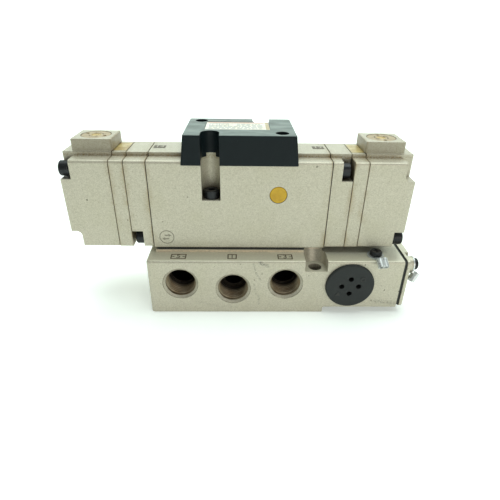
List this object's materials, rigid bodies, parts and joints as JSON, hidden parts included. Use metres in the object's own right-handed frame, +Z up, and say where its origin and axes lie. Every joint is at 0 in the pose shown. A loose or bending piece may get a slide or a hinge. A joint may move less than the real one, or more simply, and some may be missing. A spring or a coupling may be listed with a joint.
{
  "type": "solenoid directional valve",
  "caption": "Double-solenoid five-port air valve with a black lamp cover, bolted on a cast sub-plate with threaded pipe ports and a wiring box.",
  "frame": {"origin": "on the sub-plate's underside, midway between the two solenoids", "axes": "+Z up, +X along the valve towards the wiring box, -Y out of the three front ports"},
  "size_m": [0.1714, 0.0574, 0.0879],
  "materials": {
    "cast_paint": "champagne-silver metallic paint on castings, satin",
    "black_plastic": "fine matt texture",
    "white_plastic": "moulded",
    "rubber": "dull",
    "black_oxide": "black-oxide screws, satin",
    "zinc_plate": "bright zinc",
    "steel": "ground and lapped",
    "spring_steel": "drawn wire",
    "bronze": "tarnished nickel bronze",
    "brass": "worn",
    "copper_wire": "enamelled winding",
    "yellow_plug": "smooth",
    "paper_label": "printed film",
    "gold_label": "yellowed film",
    "circuit_green": "solder resist",
    "lamp_red": "clear red resin"
  },
  "bodies": {
    "valve_and_base": {"base_block": "cast_paint", "base_end_cover": "cast_paint", "valve_body": "cast_paint", "adapter_plate_left": "cast_paint", "pilot_plate_left": "cast_paint", "solenoid_block_left": "cast_paint", "adapter_plate_right": "cast_paint", "pilot_plate_right": "cast_paint", "solenoid_block_right": "cast_paint", "top_cover": "black_plastic", "valve_plug": "black_plastic", "base_socket": "black_plastic", "terminal_strip": "black_plastic", "coil_bobbin_left": "white_plastic", "coil_bobbin_right": "white_plastic", "base_end_gasket": "rubber", "interface_gasket": "rubber", "cover_gasket": "rubber", "cable_grommet": "rubber", "sleeve_seals": "rubber", "adapter_gasket_left": "rubber", "pilot_gaskets_left": "rubber", "adapter_gasket_right": "rubber", "pilot_gaskets_right": "rubber", "body_bolts": "black_oxide", "adapter_screws": "black_oxide", "end_screws": "black_oxide", "cover_screws": "black_oxide", "base_end_cover_screws": "black_oxide", "earth_screw_top": "black_oxide", "earth_screw_end": "black_oxide", "terminal_screws": "black_oxide", "earth_terminal_top": "zinc_plate", "earth_terminal_end": "zinc_plate", "sleeve": "steel", "fixed_core_left": "steel", "fixed_core_right": "steel", "override_disc_left": "bronze", "override_disc_right": "bronze", "coil_winding_left": "copper_wire", "coil_winding_right": "copper_wire", "flow_plug": "yellow_plug", "nameplate": "paper_label", "pilot_labels": "gold_label", "circuit_board": "circuit_green", "indicator_lamps": "lamp_red"},
    "spool_set": {"spool": "steel", "piston_left": "steel", "piston_right": "steel", "piston_seals": "rubber"},
    "override_left": {"override_button_left": "brass", "override_spring_left": "spring_steel"},
    "plunger_left": {"armature_left": "steel", "armature_spring_left": "spring_steel"},
    "override_right": {"override_button_right": "brass", "override_spring_right": "spring_steel"},
    "plunger_right": {"armature_right": "steel", "armature_spring_right": "spring_steel"}
  },
  "joints": [
    {"name": "spool_slide", "type": "slide", "parent": "valve_and_base", "child": "spool_set", "axis": [1, 0, 0], "range_m": [0, 0.003]},
    {"name": "override_press_left", "type": "slide", "parent": "valve_and_base", "child": "override_left", "axis": [0, 0, -1], "range_m": [0, 0.0012], "stiffness_N_per_m": 900, "springref_m": -0.002, "deforming": ["override_spring_left"]},
    {"name": "plunger_stroke_left", "type": "slide", "parent": "valve_and_base", "child": "plunger_left", "axis": [0, 0, -1], "range_m": [0, 0.0012], "stiffness_N_per_m": 400, "springref_m": -0.002, "deforming": ["armature_spring_left"]},
    {"name": "override_press_right", "type": "slide", "parent": "valve_and_base", "child": "override_right", "axis": [0, 0, -1], "range_m": [0, 0.0012], "stiffness_N_per_m": 900, "springref_m": -0.002, "deforming": ["override_spring_right"]},
    {"name": "plunger_stroke_right", "type": "slide", "parent": "valve_and_base", "child": "plunger_right", "axis": [0, 0, -1], "range_m": [0, 0.0012], "stiffness_N_per_m": 400, "springref_m": -0.002, "deforming": ["armature_spring_right"]}
  ],
  "couplings": [
    {"joint": "override_press_left", "follows": "plunger_stroke_left", "ratio": 1},
    {"joint": "override_press_right", "follows": "plunger_stroke_right", "ratio": 1}
  ]
}
